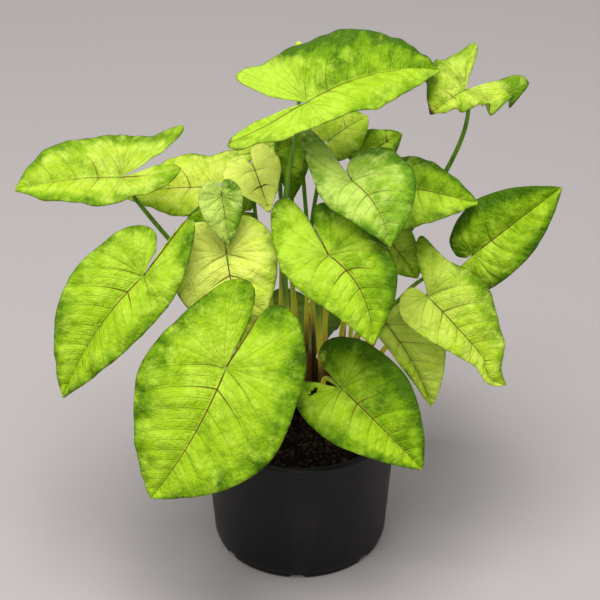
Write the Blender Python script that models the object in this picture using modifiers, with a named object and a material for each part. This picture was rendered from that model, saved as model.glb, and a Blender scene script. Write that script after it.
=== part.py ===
"""A potted syngonium: a black nursery pot, its soil, and arrow-shaped leaves on stalks.

Metres, +Z up. The origin is the middle of the pot's flat underside, and -Y is the front.
Each leaf is one solid: a thin, arched, folded blade fused to its own stalk.
"""

import math
from dataclasses import dataclass

import bmesh
import bpy
import numpy as np
from mathutils import Vector, noise

MM = 0.001

# Pot
POT_HEIGHT = 90 * MM
BASE_RADIUS = 54 * MM
RIM_RADIUS = 60 * MM
LIP_RADIUS = 62.5 * MM
LIP_DEPTH = 4.5 * MM
LIP_STEPS = 8
LIP_UNDERCUT = 0.6 * MM
WALL = 1.6 * MM
FLOOR_THICKNESS = 2.5 * MM
FLOOR_CURVE = 3 * MM
FOOT_STEP = 1.0 * MM
FOOT_HEIGHT = 4.0 * MM
FOOT_EDGE = 1.4 * MM
POT_SIDES = 48
NOTCH_COUNT = 7
NOTCH_WIDTH = 8 * MM
NOTCH_HEIGHT = 3.2 * MM
NOTCH_REACH = 9 * MM
NOTCH_MIDDLE = BASE_RADIUS - 1.5 * MM
NOTCH_TURN = -92.5

# Soil
SOIL_TOP = 78 * MM
SOIL_LUMP = 1.6 * MM
SOIL_GAP = 0.6 * MM
SOIL_RINGS = 6
SOIL_SIDES = 32
HOLE_SLACK = 0.3 * MM
HOLE_DEPTH = 12 * MM
HOLE_SIDES = 8

# Blades
BLADE_THICKNESS = 0.8 * MM
BLADE_RINGS = (0.4, 0.72, 1.0)
POINTS_A_SIDE = 10
FOLD_EASE = 0.35  # how much of the fold is lost at the edge
RISE_EASE = 0.45  # how much of the rise from the midrib is lost at the edge
WAVE_RUN = 0.62  # one wave of the edge, as a share of the blade's length
HIP_START = 0.25  # where the lobes begin to narrow, as a share of the blade's length

# Stalks
STALK_STEPS = 8
STALK_TIP = 0.9
STALK_RUN = 5  # mm that the stalk runs on under the midrib
STALK_UNDER = 0.6  # mm that its centre lies under the blade's
STALK_RISE = 0.45  # how firmly it leaves the soil upright, as a share of its height
STALK_ARRIVE = 0.28  # how firmly it turns into the joint, as a share of its reach
PATH_SAMPLES = 24

# Half an outline: share of the half's width, then share of the lobe (negative) or of the blade
HALF_OUTLINE = (
    (0.05, -0.62),
    (0.20, -0.93),
    (0.42, -1.00),
    (0.66, -0.88),
    (0.87, -0.55),
    (0.97, -0.20),
    (1.00, 0.08),
    (0.97, 0.26),
    (0.88, 0.42),
    (0.70, 0.60),
    (0.46, 0.76),
    (0.22, 0.89),
    (0.07, 0.965),
    (0.0, 1.0),
)


@dataclass
class Leaf:
    """One leaf's sizes in mm and degrees. Pairs are for its left and right halves, seen from above."""

    name: str
    joint: tuple  # where the stalk meets the blade
    heading: float  # of the midrib, from +X towards +Y
    dip: float  # of the midrib's chord under level
    roll: float  # of the blade about that chord, right side up
    length: float  # joint to tip
    width: tuple
    lobe: tuple  # how far each lobe reaches behind the joint
    foot: tuple  # x and y where the stalk enters the soil
    fold: tuple = (14, 14)  # each half's rise from the midrib
    bend: float = 26  # how far the midrib turns down from joint to tip
    lift: tuple = (0, 0)  # rise of each lobe's end
    belly: tuple = (1, 1)  # under 1 carries the widest part towards the tip
    hip: tuple = (1, 1)  # width of the lobes, as a share of the half's
    wave: float = 1.5  # height of the edge's waves
    stalk: float = 1.8  # the stalk's radius at the soil
    over: float = 0.35  # 0: the stalk rises straight into the joint, 1: it comes down into it
    tone: str = "green"


LEAVES = (
    Leaf("leaf_top", (4, -5, 303), 21, -3, 16, 84, (45, 27), (35, 50), (-7, 12),
         fold=(22, 20), lift=(12, 2), belly=(0.88, 1), stalk=2.1),
    Leaf("leaf_top_right", (96, 30, 295), -138, 12, -30, 31, (24, 28), (32, 16), (31, 30),
         fold=(10, 16), bend=40, lift=(8, 14), wave=2.5, tone="lime"),
    Leaf("leaf_top_left", (-102, -5, 256), -171, 3, -20, 61, (26, 28), (30, 34), (-30, 14),
         fold=(14, 22), lift=(9, 20), hip=(0.7, 1), belly=(0.8, 1), tone="lime"),
    Leaf("leaf_back_left", (-53, 40, 226), -175, 4, -20, 55, (22, 24), (24, 24), (-17, 33),
         fold=(14, 16), lift=(0, 12), stalk=1.5, tone="yellow"),
    Leaf("leaf_young", (-27, 10, 256), -71, 27, 14, 30, (16, 18), (12, 12), (-12, 22),
         fold=(30, 24), bend=20, wave=1.2, stalk=1.4, tone="yellow"),
    Leaf("leaf_behind_stalk", (-7, 25, 262), -90, 60, 0, 32, (14, 14), (12, 14), (-4, 34),
         bend=20, wave=1, stalk=1.4, over=0.1),
    Leaf("leaf_pale", (29, -22, 263), -54, 37, 23, 45, (31, 23), (14, 44), (15, 22),
         fold=(12, 16), bend=34, belly=(0.8, 1), tone="pale"),
    Leaf("leaf_right_back", (56, 8, 249), -17, 7, 31, 49, (24, 24), (20, 20), (24, 28),
         fold=(12, 16)),
    Leaf("leaf_right", (102, -8, 208), 6, -40, 57, 64, (25, 26), (7, 14), (38, 14),
         fold=(10, 12)),
    Leaf("leaf_lower_right", (74, -25, 189), -23, 44, 40, 71, (28, 22), (28, 14), (34, 4),
         fold=(16, 20), belly=(0.9, 1.3), over=0.6, tone="lime"),
    Leaf("leaf_under_right", (51, -24, 169), -28, 58, 59, 58, (26, 14), (7, 14), (25, -3),
         fold=(14, 50), over=0.6, tone="lime"),
    Leaf("leaf_front_right", (24, -60, 148), -33, 33, 37, 66, (32, 29), (24, 24), (16, -8),
         fold=(12, 14), over=1.0),
    Leaf("leaf_front_left", (-41, -85, 179), -141, 50, -34, 85, (47, 40), (46, 50), (-22, -18),
         fold=(10, 12), bend=28, wave=2, stalk=2.2, over=0.7),
    Leaf("leaf_middle_left", (-42, -26, 218), -70, 62, 19, 58, (28, 34), (18, 24), (-15, -7),
         fold=(12, 12), over=0.5, tone="yellow"),
    Leaf("leaf_left", (-89, -44, 213), -152, 51, -40, 86, (31, 33), (42, 28), (-36, 0),
         fold=(42, 16), bend=28, belly=(1, 0.8), hip=(1, 0.8), wave=2, over=0.5),
    Leaf("leaf_middle", (13, -45, 227), -55, 42, 23, 57, (32, 26), (18, 44), (14, 7),
         fold=(12, 14), bend=30, belly=(0.85, 1), stalk=2),
    Leaf("leaf_shaded", (-34, 9, 226), -175, 8, -30, 34, (10, 15), (7, 8), (-27, 23),
         fold=(10, 20), stalk=1.4, over=0.1),
    Leaf("leaf_folded", (-41, -21, 253), -75, 72, 20, 26, (10, 10), (8, 8), (-23, 9),
         fold=(60, 55), bend=16, wave=0.8, stalk=1.3, over=0.42, tone="pale"),
    Leaf("leaf_back_top", (18, 50, 253), 40, -12, 20, 37, (18, 19), (9, 11), (4, 38),
         stalk=1.5, tone="lime"),
    Leaf("leaf_back_right", (42, 56, 244), 25, -22, 30, 30, (17, 18), (12, 12), (13, 34),
         stalk=1.5),
    Leaf("leaf_right_tip", (50, 2, 214), -26, 47, 37, 34, (20, 20), (14, 14), (30, 21),
         stalk=1.5, tone="lime"),
    Leaf("leaf_small_pale", (-14, 36, 256), -178, 12, -22, 26, (11, 12), (10, 10), (-13, 42),
         stalk=1.3, over=0.1, tone="lime"),
    Leaf("leaf_behind_top", (-3, 50, 295), 90, -34, 0, 24, (10, 10), (8, 8), (9, 46),
         stalk=1.4, over=0.1, tone="yellow"),
    Leaf("leaf_back_low", (6, 86, 114), 90, 64, 0, 78, (28, 28), (20, 20), (17, 43),
         over=0.9),
    Leaf("leaf_back_low_left", (-48, 66, 166), 130, 40, -10, 60, (27, 27), (20, 22), (-26, 35),
         over=0.6),
    Leaf("leaf_back_low_right", (82, 52, 158), 30, 44, 12, 58, (26, 27), (20, 20), (37, 22),
         over=0.6, tone="lime"),
    Leaf("leaf_back_high", (-14, 82, 214), 98, 30, 0, 60, (28, 28), (24, 22), (-1, 45),
         over=0.5),
    Leaf("leaf_back_mid", (44, 90, 188), 66, 28, 8, 54, (25, 24), (18, 20), (26, 37),
         over=0.5),
)

# A short stem or rolled leaf in mm: name, x, y, radius, height, how far its top leans
STEMS = (
    ("stem_left", -20, 24, 4.2, 34, (3, 6)),
    ("stem_right", 24, 14, 4.6, 30, (-4, 4)),
    ("stem_middle", 4, 26, 4.0, 38, (2, 5)),
    ("rolled_leaf", -14, 3, 2.6, 96, (-12, -12)),
)
STEM_STEPS = 8
STEM_STRAIGHT = 0.15  # the share of a stem that stands upright before it leans
STEM_TAPER = 0.75

# Each tone's colour, as the shader takes it
TONES = {
    "green": (0.20, 0.46, 0.03),
    "lime": (0.38, 0.66, 0.06),
    "yellow": (0.52, 0.70, 0.05),
    "pale": (0.45, 0.68, 0.16),
}


def clear_scene():
    for obj in list(bpy.data.objects):
        bpy.data.objects.remove(obj, do_unlink=True)


def new_collection(name):
    collection = bpy.data.collections.new(name)
    bpy.context.scene.collection.children.link(collection)
    return collection


def new_material(name, colour, roughness):
    material = bpy.data.materials.new(name)
    material.use_nodes = True
    shader = material.node_tree.nodes["Principled BSDF"]
    shader.inputs["Base Color"].default_value = (*colour, 1)
    shader.inputs["Roughness"].default_value = roughness
    material.diffuse_color = (*colour, 1)
    return material


def new_object(name, data, collection, material=None):
    obj = bpy.data.objects.new(name, data)
    collection.objects.link(obj)
    if material is not None:
        data.materials.append(material)
    return obj


def mesh_from(name, points, faces):
    mesh = bpy.data.meshes.new(name)
    mesh.from_pydata([tuple(map(float, p)) for p in points], [], faces)
    mesh.update()
    return mesh


def evaluated_mesh(obj, name):
    """The object's mesh with its modifiers applied, or a curve's tube with its caps welded on."""
    graph = bpy.context.evaluated_depsgraph_get()
    mesh = bpy.data.meshes.new_from_object(obj.evaluated_get(graph))
    mesh.name = name
    cage = bmesh.new()
    cage.from_mesh(mesh)
    bmesh.ops.remove_doubles(cage, verts=cage.verts, dist=1e-6)
    bmesh.ops.recalc_face_normals(cage, faces=cage.faces)
    bmesh.ops.triangulate(cage, faces=cage.faces)
    cage.to_mesh(mesh)
    cage.free()
    return mesh


def cut_with(target, cutter, cutters):
    """Subtracts the cutter from the target and keeps it hidden among the cutters."""
    for collection in list(cutter.users_collection):
        collection.objects.unlink(cutter)
    cutters.objects.link(cutter)
    cutter.hide_render = True
    cutter.display_type = "WIRE"
    cut = target.modifiers.new(cutter.name, "BOOLEAN")
    cut.operation = "DIFFERENCE"
    cut.object = cutter


def smooth_curve(points, samples):
    """Points along a Catmull-Rom curve through the given ones, as many to each stretch."""
    points = np.asarray(points, float)
    padded = np.vstack([2 * points[0] - points[1], points, 2 * points[-1] - points[-2]])
    at = np.linspace(0, len(points) - 1, samples)
    first = np.minimum(at.astype(int), len(points) - 2)
    t = (at - first)[:, None]
    p0, p1, p2, p3 = (padded[first + k] for k in range(4))
    return 0.5 * (2 * p1 + (p2 - p0) * t + (2 * p0 - 5 * p1 + 4 * p2 - p3) * t**2
                  + (3 * p1 - p0 - 3 * p2 + p3) * t**3)


def half_outline(leaf, half):
    """One half's edge from the mouth of the notch to the tip: across, along."""
    width, lobe = leaf.width[half], leaf.lobe[half]
    across, share = np.array(HALF_OUTLINE).T
    ahead = np.maximum(share, 0) ** leaf.belly[half] * leaf.length
    along = np.where(share < 0, share * lobe, ahead)
    start = HIP_START * leaf.length
    hip = np.clip((start - along) / (start + 0.3 * lobe), 0, 1)
    across = across * width * (1 - (1 - leaf.hip[half]) * hip)
    return smooth_curve(np.stack([across, along], axis=1), POINTS_A_SIDE)


def leaf_axes(leaf):
    """Unit vectors along the midrib's chord, to its right, and out of the upper face."""
    h, d, r = (math.radians(v) for v in (leaf.heading, leaf.dip, leaf.roll))
    chord = np.array([math.cos(d) * math.cos(h), math.cos(d) * math.sin(h), -math.sin(d)])
    side = np.cross(chord, [0.0, 0.0, 1.0])
    side /= np.linalg.norm(side)
    normal = np.cross(side, chord)
    return chord, side * math.cos(r) - normal * math.sin(r), normal * math.cos(r) + side * math.sin(r)


def midrib(along, leaf):
    """Chord run, height and turn at a distance along a midrib that arches over its joint."""
    half = math.radians(leaf.bend) / 2
    radius = leaf.length / (2 * math.sin(half))
    turn = half - along / radius
    return radius * (math.sin(half) - np.sin(turn)), radius * (np.cos(turn) - math.cos(half)), turn


def blade_points(leaf, across, along):
    """Where points of the flat blade lie once it is folded, crowned, waved and arched."""
    chord, side, normal = leaf_axes(leaf)
    right = (across > 0).astype(int)
    width, lobe, fold, rise = (np.array(pair)[right] for pair in (leaf.width, leaf.lobe, leaf.fold, leaf.lift))
    fold = np.radians(fold)
    share = np.abs(across) / width
    out = across * np.cos(fold * (1 - FOLD_EASE * share))
    lift = np.abs(across) * np.sin(fold) * (1 - RISE_EASE * share)
    phase = np.array((2.1, 0.4))[right] + leaf.joint[0] * 0.05
    lift += leaf.wave * share**2 * np.sin(2 * math.pi * along / (WAVE_RUN * leaf.length) + phase)
    behind = np.minimum(along, 0)
    lift += rise * (behind / lobe) ** 2
    run, height, turn = midrib(np.maximum(along, 0), leaf)
    start = math.radians(leaf.bend) / 2
    run += behind * math.cos(start) - lift * np.sin(turn)
    height += behind * math.sin(start) + lift * np.cos(turn)
    place = np.asarray(leaf.joint, float) + out[:, None] * side
    return (place + run[:, None] * chord + height[:, None] * normal) * MM


def blade_mesh(leaf):
    """The blade as an open sheet of triangles: rays from the joint to the edge, in rings."""
    left = half_outline(leaf, 0) * (-1, 1)
    right = half_outline(leaf, 1)
    edge = np.vstack([left, right[::-1][1:]])
    count = len(edge)
    flat = np.vstack([[(0.0, 0.0)]] + [edge * share for share in BLADE_RINGS])
    faces = [(0, k + 2, k + 1) for k in range(count - 1)]
    for ring in range(len(BLADE_RINGS) - 1):
        for k in range(count - 1):
            a = 1 + ring * count + k
            b = a + count
            if k < count // 2:
                faces += [(a, b + 1, b), (a, a + 1, b + 1)]
            else:
                faces += [(a, a + 1, b), (a + 1, b + 1, b)]
    return mesh_from(leaf.name + "_sheet", blade_points(leaf, flat[:, 0], flat[:, 1]), faces)


def stalk_path(leaf):
    """The stalk's centre line: up from the soil, over into the joint, then along the midrib."""
    joint = np.asarray(leaf.joint, float)
    bottom = np.array([*leaf.foot, (SOIL_TOP - HOLE_DEPTH) / MM])
    top = np.array([*leaf.foot, SOIL_TOP / MM + 3])
    reach = joint - top
    chord, _, normal = leaf_axes(leaf)
    half = math.radians(leaf.bend) / 2
    tangent = chord * math.cos(half) + normal * math.sin(half)
    under = joint - normal * STALK_UNDER
    arrive = tangent * leaf.over + np.array([0, 0, 1.0]) * (1 - leaf.over)
    arrive /= np.linalg.norm(arrive)
    p1 = top + np.array([0, 0, abs(reach[2]) * STALK_RISE])
    p2 = under - arrive * np.linalg.norm(reach) * STALK_ARRIVE
    t = np.linspace(0, 1, PATH_SAMPLES)[:, None]
    path = (1 - t) ** 3 * top + 3 * (1 - t) ** 2 * t * p1 + 3 * (1 - t) * t**2 * p2 + t**3 * under
    above = smooth_curve(np.vstack([path, under + tangent * STALK_RUN]), STALK_STEPS + 1)
    return np.vstack([bottom, above])


def tube_mesh(name, path, radii, collection, roundness):
    """A closed round tube along a path, both in mm."""
    curve = bpy.data.curves.new(name, "CURVE")
    curve.dimensions = "3D"
    curve.bevel_depth = 1.0
    curve.bevel_resolution = roundness
    curve.use_fill_caps = True
    spline = curve.splines.new("POLY")
    spline.points.add(len(path) - 1)
    for point, spot, radius in zip(spline.points, path, radii):
        point.co = (*(spot * MM), 1)
        point.radius = radius * MM
    tube = new_object(name + "_tube", curve, collection)
    mesh = evaluated_mesh(tube, name)
    bpy.data.objects.remove(tube, do_unlink=True)
    return mesh


def make_leaf(leaf, collection, cutters, material):
    """A blade given its thickness, and the tapering stalk fused to it."""
    sheet = new_object(leaf.name + "_sheet", blade_mesh(leaf), cutters)
    solidify = sheet.modifiers.new("thickness", "SOLIDIFY")
    solidify.thickness = BLADE_THICKNESS
    solidify.offset = 0
    blade = evaluated_mesh(sheet, leaf.name)
    bpy.data.objects.remove(sheet, do_unlink=True)
    obj = new_object(leaf.name, blade, collection, material)
    path = stalk_path(leaf)
    share = np.linspace(0, 1, len(path))
    radii = leaf.stalk + (STALK_TIP - leaf.stalk) * share**2
    tube = tube_mesh(leaf.name + "_stalk", path, radii, cutters, 1)
    stalk = new_object(leaf.name + "_stalk", tube, cutters)
    fuse = obj.modifiers.new("stalk", "BOOLEAN")
    fuse.operation = "UNION"
    fuse.object = stalk
    fused = evaluated_mesh(obj, leaf.name)
    obj.modifiers.clear()
    obj.data = fused
    bpy.data.objects.remove(stalk, do_unlink=True)
    fused.shade_smooth()
    fused.set_sharp_from_angle(angle=math.radians(50))
    return obj


def make_stem(stem, collection, material):
    """A short stem or rolled leaf: a tapering tube that leans as it rises out of the soil."""
    name, x, y, radius, height, lean = stem
    share = np.linspace(0, 1, STEM_STEPS + 1)
    up = np.maximum((share - STEM_STRAIGHT) / (1 - STEM_STRAIGHT), 0)
    z = (SOIL_TOP - HOLE_DEPTH) / MM + share * (height + HOLE_DEPTH / MM)
    path = np.stack([x + lean[0] * up**2, y + lean[1] * up**2, z], axis=1)
    mesh = tube_mesh(name, path, radius * (1 - STEM_TAPER * up**1.6), collection, 2)
    mesh.shade_smooth()
    return new_object(name, mesh, collection, material)


def pot_profile():
    """From the middle of the inside floor, up the wall, round the rolled lip, and down outside."""
    lip_middle = POT_HEIGHT - LIP_DEPTH / 2
    lip_centre = RIM_RADIUS - WALL / 2
    inner = [
        (0.0, FLOOR_THICKNESS),
        (BASE_RADIUS - WALL - FLOOR_CURVE, FLOOR_THICKNESS),
        (BASE_RADIUS - WALL, FLOOR_THICKNESS + FLOOR_CURVE),
        (RIM_RADIUS - WALL, POT_HEIGHT - LIP_DEPTH),
    ]
    lip = []
    for k in range(LIP_STEPS + 1):
        angle = math.pi * (1 - k / LIP_STEPS)
        reach = WALL / 2 if k < LIP_STEPS / 2 else LIP_RADIUS - lip_centre
        lip.append((lip_centre + reach * math.cos(angle), lip_middle + LIP_DEPTH / 2 * math.sin(angle)))
    outer = [
        (RIM_RADIUS + LIP_UNDERCUT, POT_HEIGHT - LIP_DEPTH - LIP_UNDERCUT),
        (BASE_RADIUS + FOOT_STEP, FOOT_HEIGHT + 1.2 * MM),
        (BASE_RADIUS, FOOT_HEIGHT),
        (BASE_RADIUS - 0.4 * MM, 0.8 * MM),
        (BASE_RADIUS - FOOT_EDGE, 0.0),
        (0.0, 0.0),
    ]
    return inner + lip + outer


def make_pot(collection, cutters):
    """The pot turned from its profile, with drain notches round its foot."""
    plastic = new_material("black_plastic", (0.018, 0.018, 0.02), 0.42)
    profile = [(x, 0.0, z) for x, z in pot_profile()]
    mesh = bpy.data.meshes.new("pot")
    mesh.from_pydata(profile, [(k, k + 1) for k in range(len(profile) - 1)], [])
    pot = new_object("pot", mesh, collection, plastic)
    screw = pot.modifiers.new("turn", "SCREW")
    screw.steps = POT_SIDES
    screw.render_steps = POT_SIDES
    screw.use_merge_vertices = True
    screw.merge_threshold = 1e-5
    for k in range(NOTCH_COUNT):
        angle = math.radians(NOTCH_TURN + 360 * k / NOTCH_COUNT)
        bpy.ops.mesh.primitive_cube_add(
            size=1,
            location=(NOTCH_MIDDLE * math.cos(angle), NOTCH_MIDDLE * math.sin(angle), 0),
            rotation=(0, 0, angle),
        )
        cutter = bpy.context.object
        cutter.name = f"notch_{k + 1}"
        cutter.scale = (NOTCH_REACH, NOTCH_WIDTH, 2 * NOTCH_HEIGHT)
        cut_with(pot, cutter, cutters)
    return pot


def inside_radius(z):
    """The pot's inside radius at a height above its rounded floor."""
    knee = FLOOR_THICKNESS + FLOOR_CURVE
    share = (z - knee) / (POT_HEIGHT - LIP_DEPTH - knee)
    return BASE_RADIUS - WALL + (RIM_RADIUS - BASE_RADIUS) * share


def soil_height(x, y, share):
    """The lumpy top of the soil, level where it meets the pot."""
    lumps = noise.noise(Vector((x, y, 0.0)) * 140) + 0.6 * noise.noise(Vector((x, y, 0.02)) * 330)
    return SOIL_TOP + SOIL_LUMP * lumps * (1 - share**6)


def make_soil(collection, cutters):
    """A lumpy disc of soil down to the pot's floor, with a plain hole for each stalk."""
    knee = FLOOR_THICKNESS + FLOOR_CURVE
    low = FLOOR_THICKNESS + SOIL_GAP / 2
    top_radius = inside_radius(SOIL_TOP) - SOIL_GAP
    knee_radius = inside_radius(knee) - SOIL_GAP
    turns = [2 * math.pi * k / SOIL_SIDES for k in range(SOIL_SIDES)]
    points = [(0.0, 0.0, soil_height(0, 0, 0))]
    for ring in range(1, SOIL_RINGS + 1):
        share = ring / SOIL_RINGS
        for turn in turns:
            x = top_radius * share * math.cos(turn)
            y = top_radius * share * math.sin(turn)
            points.append((x, y, soil_height(x, y, share)))
    for radius, z in ((knee_radius, knee), (knee_radius - FLOOR_CURVE, low)):
        points += [(radius * math.cos(turn), radius * math.sin(turn), z) for turn in turns]
    points.append((0.0, 0.0, low))
    faces = [(0, 1 + k, 1 + (k + 1) % SOIL_SIDES) for k in range(SOIL_SIDES)]
    for ring in range(SOIL_RINGS + 1):
        a, b = 1 + ring * SOIL_SIDES, 1 + (ring + 1) * SOIL_SIDES
        for k in range(SOIL_SIDES):
            n = (k + 1) % SOIL_SIDES
            faces.append((a + k, b + k, b + n, a + n))
    last = 1 + (SOIL_RINGS + 1) * SOIL_SIDES
    faces += [(last + (k + 1) % SOIL_SIDES, last + k, len(points) - 1) for k in range(SOIL_SIDES)]
    earth = new_material("soil", (0.035, 0.02, 0.012), 0.95)
    soil = new_object("soil", mesh_from("soil", points, faces), collection, earth)
    feet = [(*leaf.foot, leaf.stalk) for leaf in LEAVES] + [stem[1:4] for stem in STEMS]
    for k, (x, y, radius) in enumerate(feet):
        bottom = SOIL_TOP - HOLE_DEPTH - HOLE_SLACK
        bpy.ops.mesh.primitive_cylinder_add(
            vertices=HOLE_SIDES,
            radius=(radius * MM + HOLE_SLACK) / math.cos(math.pi / HOLE_SIDES),
            depth=3 * HOLE_DEPTH,
            location=(x * MM, y * MM, bottom + 1.5 * HOLE_DEPTH),
        )
        cutter = bpy.context.object
        cutter.name = f"hole_{k + 1}"
        cut_with(soil, cutter, cutters)
    return soil


def main():
    clear_scene()
    parts = new_collection("potted_syngonium")
    cutters = new_collection("cutters")
    make_pot(parts, cutters)
    make_soil(parts, cutters)
    tones = {tone: new_material("leaf_" + tone, colour, 0.4) for tone, colour in TONES.items()}
    for leaf in LEAVES:
        make_leaf(leaf, parts, cutters, tones[leaf.tone])
    stem_green = new_material("stem_green", (0.30, 0.38, 0.05), 0.5)
    for stem in STEMS:
        make_stem(stem, parts, stem_green)


main()
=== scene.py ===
import math

import bpy
import numpy as np
from mathutils import Matrix


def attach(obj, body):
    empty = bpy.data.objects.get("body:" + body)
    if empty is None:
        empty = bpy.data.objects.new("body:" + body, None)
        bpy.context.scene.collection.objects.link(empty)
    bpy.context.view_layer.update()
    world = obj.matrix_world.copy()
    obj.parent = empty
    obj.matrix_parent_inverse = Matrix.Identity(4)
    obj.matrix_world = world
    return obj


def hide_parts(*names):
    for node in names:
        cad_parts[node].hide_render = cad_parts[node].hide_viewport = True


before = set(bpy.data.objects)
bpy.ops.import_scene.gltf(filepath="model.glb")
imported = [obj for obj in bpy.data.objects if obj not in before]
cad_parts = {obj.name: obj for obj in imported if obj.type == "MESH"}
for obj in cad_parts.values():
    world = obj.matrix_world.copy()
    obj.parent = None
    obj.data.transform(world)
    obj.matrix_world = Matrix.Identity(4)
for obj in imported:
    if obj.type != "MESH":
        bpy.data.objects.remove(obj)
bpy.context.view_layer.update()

mm = 0.001
print("loaded", len(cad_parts), "nodes")


# Node and mesh helpers

def newMaterial(name):
    material = bpy.data.materials.new(name)
    material.use_nodes = True
    material.node_tree.nodes.clear()
    return material, material.node_tree


def addNode(tree, kind, fed=None, **settings):
    # fed: for each input, by name or number, another node's output or a fixed number or colour
    made = tree.nodes.new(kind)
    for key, value in settings.items():
        setattr(made, key, value)
    for key, value in (fed or {}).items():
        if hasattr(value, "is_output"):
            tree.links.new(value, made.inputs[key])
        else:
            made.inputs[key].default_value = value
    return made


def objectPlace(tree):
    return addNode(tree, "ShaderNodeTexCoord").outputs["Object"]


def calc(tree, operation, first, second=0.0):
    return addNode(tree, "ShaderNodeMath", {0: first, 1: second}, operation=operation).outputs[0]


def times(tree, first, *others):
    for other in others:
        first = calc(tree, "MULTIPLY", first, other)
    return first


def weighted(tree, *pairs):
    # the sum of each value times its weight
    total = times(tree, *pairs[0])
    for value, weight in pairs[1:]:
        total = calc(tree, "ADD", total, times(tree, value, weight))
    return total


def mixColour(tree, amount, first, second, way="MIX"):
    made = addNode(tree, "ShaderNodeMix", {0: amount, 6: first, 7: second}, data_type="RGBA", blend_type=way)
    return made.outputs[2]


def step(tree, value, low, high, bottom=0.0, top=1.0):
    # a smooth step from bottom at low to top at high; low may be the larger of the two
    fed = dict(enumerate((value, low, high, bottom, top)))
    return addNode(tree, "ShaderNodeMapRange", fed, interpolation_type="SMOOTHSTEP").outputs[0]


def noise(tree, vector, scale, detail=4.0, roughness=0.55, stretch=None):
    if stretch:
        vector = addNode(tree, "ShaderNodeMapping", {"Vector": vector, "Scale": stretch}).outputs[0]
    fed = {"Vector": vector, "Scale": scale, "Detail": detail, "Roughness": roughness}
    return addNode(tree, "ShaderNodeTexNoise", fed).outputs["Fac"]


def readAttribute(tree, name):
    # the whole attribute, then its three parts
    made = addNode(tree, "ShaderNodeAttribute", attribute_type="GEOMETRY", attribute_name=name)
    parts = addNode(tree, "ShaderNodeSeparateXYZ", {0: made.outputs["Vector"]})
    return made.outputs["Vector"], *parts.outputs


def joined(tree, *values):
    return addNode(tree, "ShaderNodeCombineXYZ", dict(enumerate(values))).outputs[0]


def bump(tree, height, strength, distance):
    fed = {"Height": height, "Strength": strength, "Distance": distance}
    return addNode(tree, "ShaderNodeBump", fed).outputs[0]


def surface(tree, colour, roughness, normal=None, shine=0.5):
    fed = {"Base Color": colour, "Roughness": roughness, "Specular IOR Level": shine}
    if normal is not None:
        fed["Normal"] = normal
    return addNode(tree, "ShaderNodeBsdfPrincipled", fed).outputs[0]


def output(tree, shader):
    addNode(tree, "ShaderNodeOutputMaterial", {"Surface": shader})


def addObject(name, data):
    made = bpy.data.objects.new(name, data)
    bpy.context.scene.collection.objects.link(made)
    return made


def newPiece(name, points, faces, materials, attributes=None):
    # points in mm; faces is a list of arrays of quads or triangles
    mesh = bpy.data.meshes.new(name)
    flat = [tuple(face) for group in faces for face in group.tolist()]
    mesh.from_pydata((points * mm).tolist(), [], flat)
    for key, values in (attributes or {}).items():
        made = mesh.attributes.new(key, "FLOAT_VECTOR", "POINT")
        made.data.foreach_set("vector", np.ascontiguousarray(values, np.float32).ravel())
    mesh.shade_smooth()
    for material in materials:
        mesh.materials.append(material)
    return addObject(name, mesh)


def place(piece, node):
    # every piece is on the one body and stands in for its CAD node
    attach(piece, "root")
    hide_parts(node)


def gridQuads(rows, columns, start=0, around=False):
    # quads between neighbouring rows and columns of a grid; around joins the last column to the first
    across = np.arange(columns if around else columns - 1)
    row = np.arange(rows - 1)[:, None] * columns
    a = start + row + across
    b = start + row + (across + 1) % columns
    return np.stack([a, b, b + columns, a + columns], axis=-1).reshape(-1, 4)


def smoothCurve(points, samples):
    # Catmull-Rom: each stretch is a cubic through its two ends, aimed along the line between their neighbours
    points = np.asarray(points, float)
    padded = np.vstack([2 * points[0] - points[1], points, 2 * points[-1] - points[-2]])
    at = np.linspace(0, len(points) - 1, samples)
    first = np.minimum(at.astype(int), len(points) - 2)
    t = (at - first)[:, None]
    p0, p1, p2, p3 = (padded[first + k] for k in range(4))
    return 0.5 * (2 * p1 + (p2 - p0) * t + (2 * p0 - 5 * p1 + 4 * p2 - p3) * t**2
                  + (3 * p1 - p0 - 3 * p2 + p3) * t**3)


def lumps(x, y, seed, shortest, longest, waves=28):
    # a sum of sine waves in random directions, each as high as it is long, scaled to about -1..1
    dice = np.random.default_rng(seed)
    length = np.exp(dice.uniform(np.log(shortest), np.log(longest), waves))
    turn = dice.uniform(0, 2 * np.pi, (2, waves))
    along = x[..., None] * np.cos(turn[0]) + y[..., None] * np.sin(turn[0])
    return (length * np.sin(2 * np.pi * along / length + turn[1])).sum(-1) / (longest * waves**0.5 * 0.5)


# Camera, floor and light

cameraSetup = {"lens": 102, "distance": 1118, "elevation": 39, "down": 31.5}
roomSetup = {"floorSize": 5, "floorColour": (0.345, 0.315, 0.310, 1), "sky": 0.70, "aim": (0, 0, 0.2),
             "keyFrom": (-0.12, -0.45, 1.75), "keySize": 0.95, "keyPower": 34,
             "fillFrom": (-1.1, -1.5, 1.2), "fillSize": 1.4, "fillPower": 10}


def setCamera(setup):
    # looks down at the pot from the front, as the photograph does
    camera = addObject("camera", bpy.data.cameras.new("camera"))
    camera.data.lens = setup["lens"]
    up = math.radians(setup["elevation"])
    away = setup["distance"] * mm
    spot = Matrix.Translation((0, -away * math.cos(up), away * math.sin(up)))
    camera.matrix_world = spot @ Matrix.Rotation(math.radians(90 - setup["down"]), 4, "X")
    bpy.context.scene.camera = camera


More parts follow.
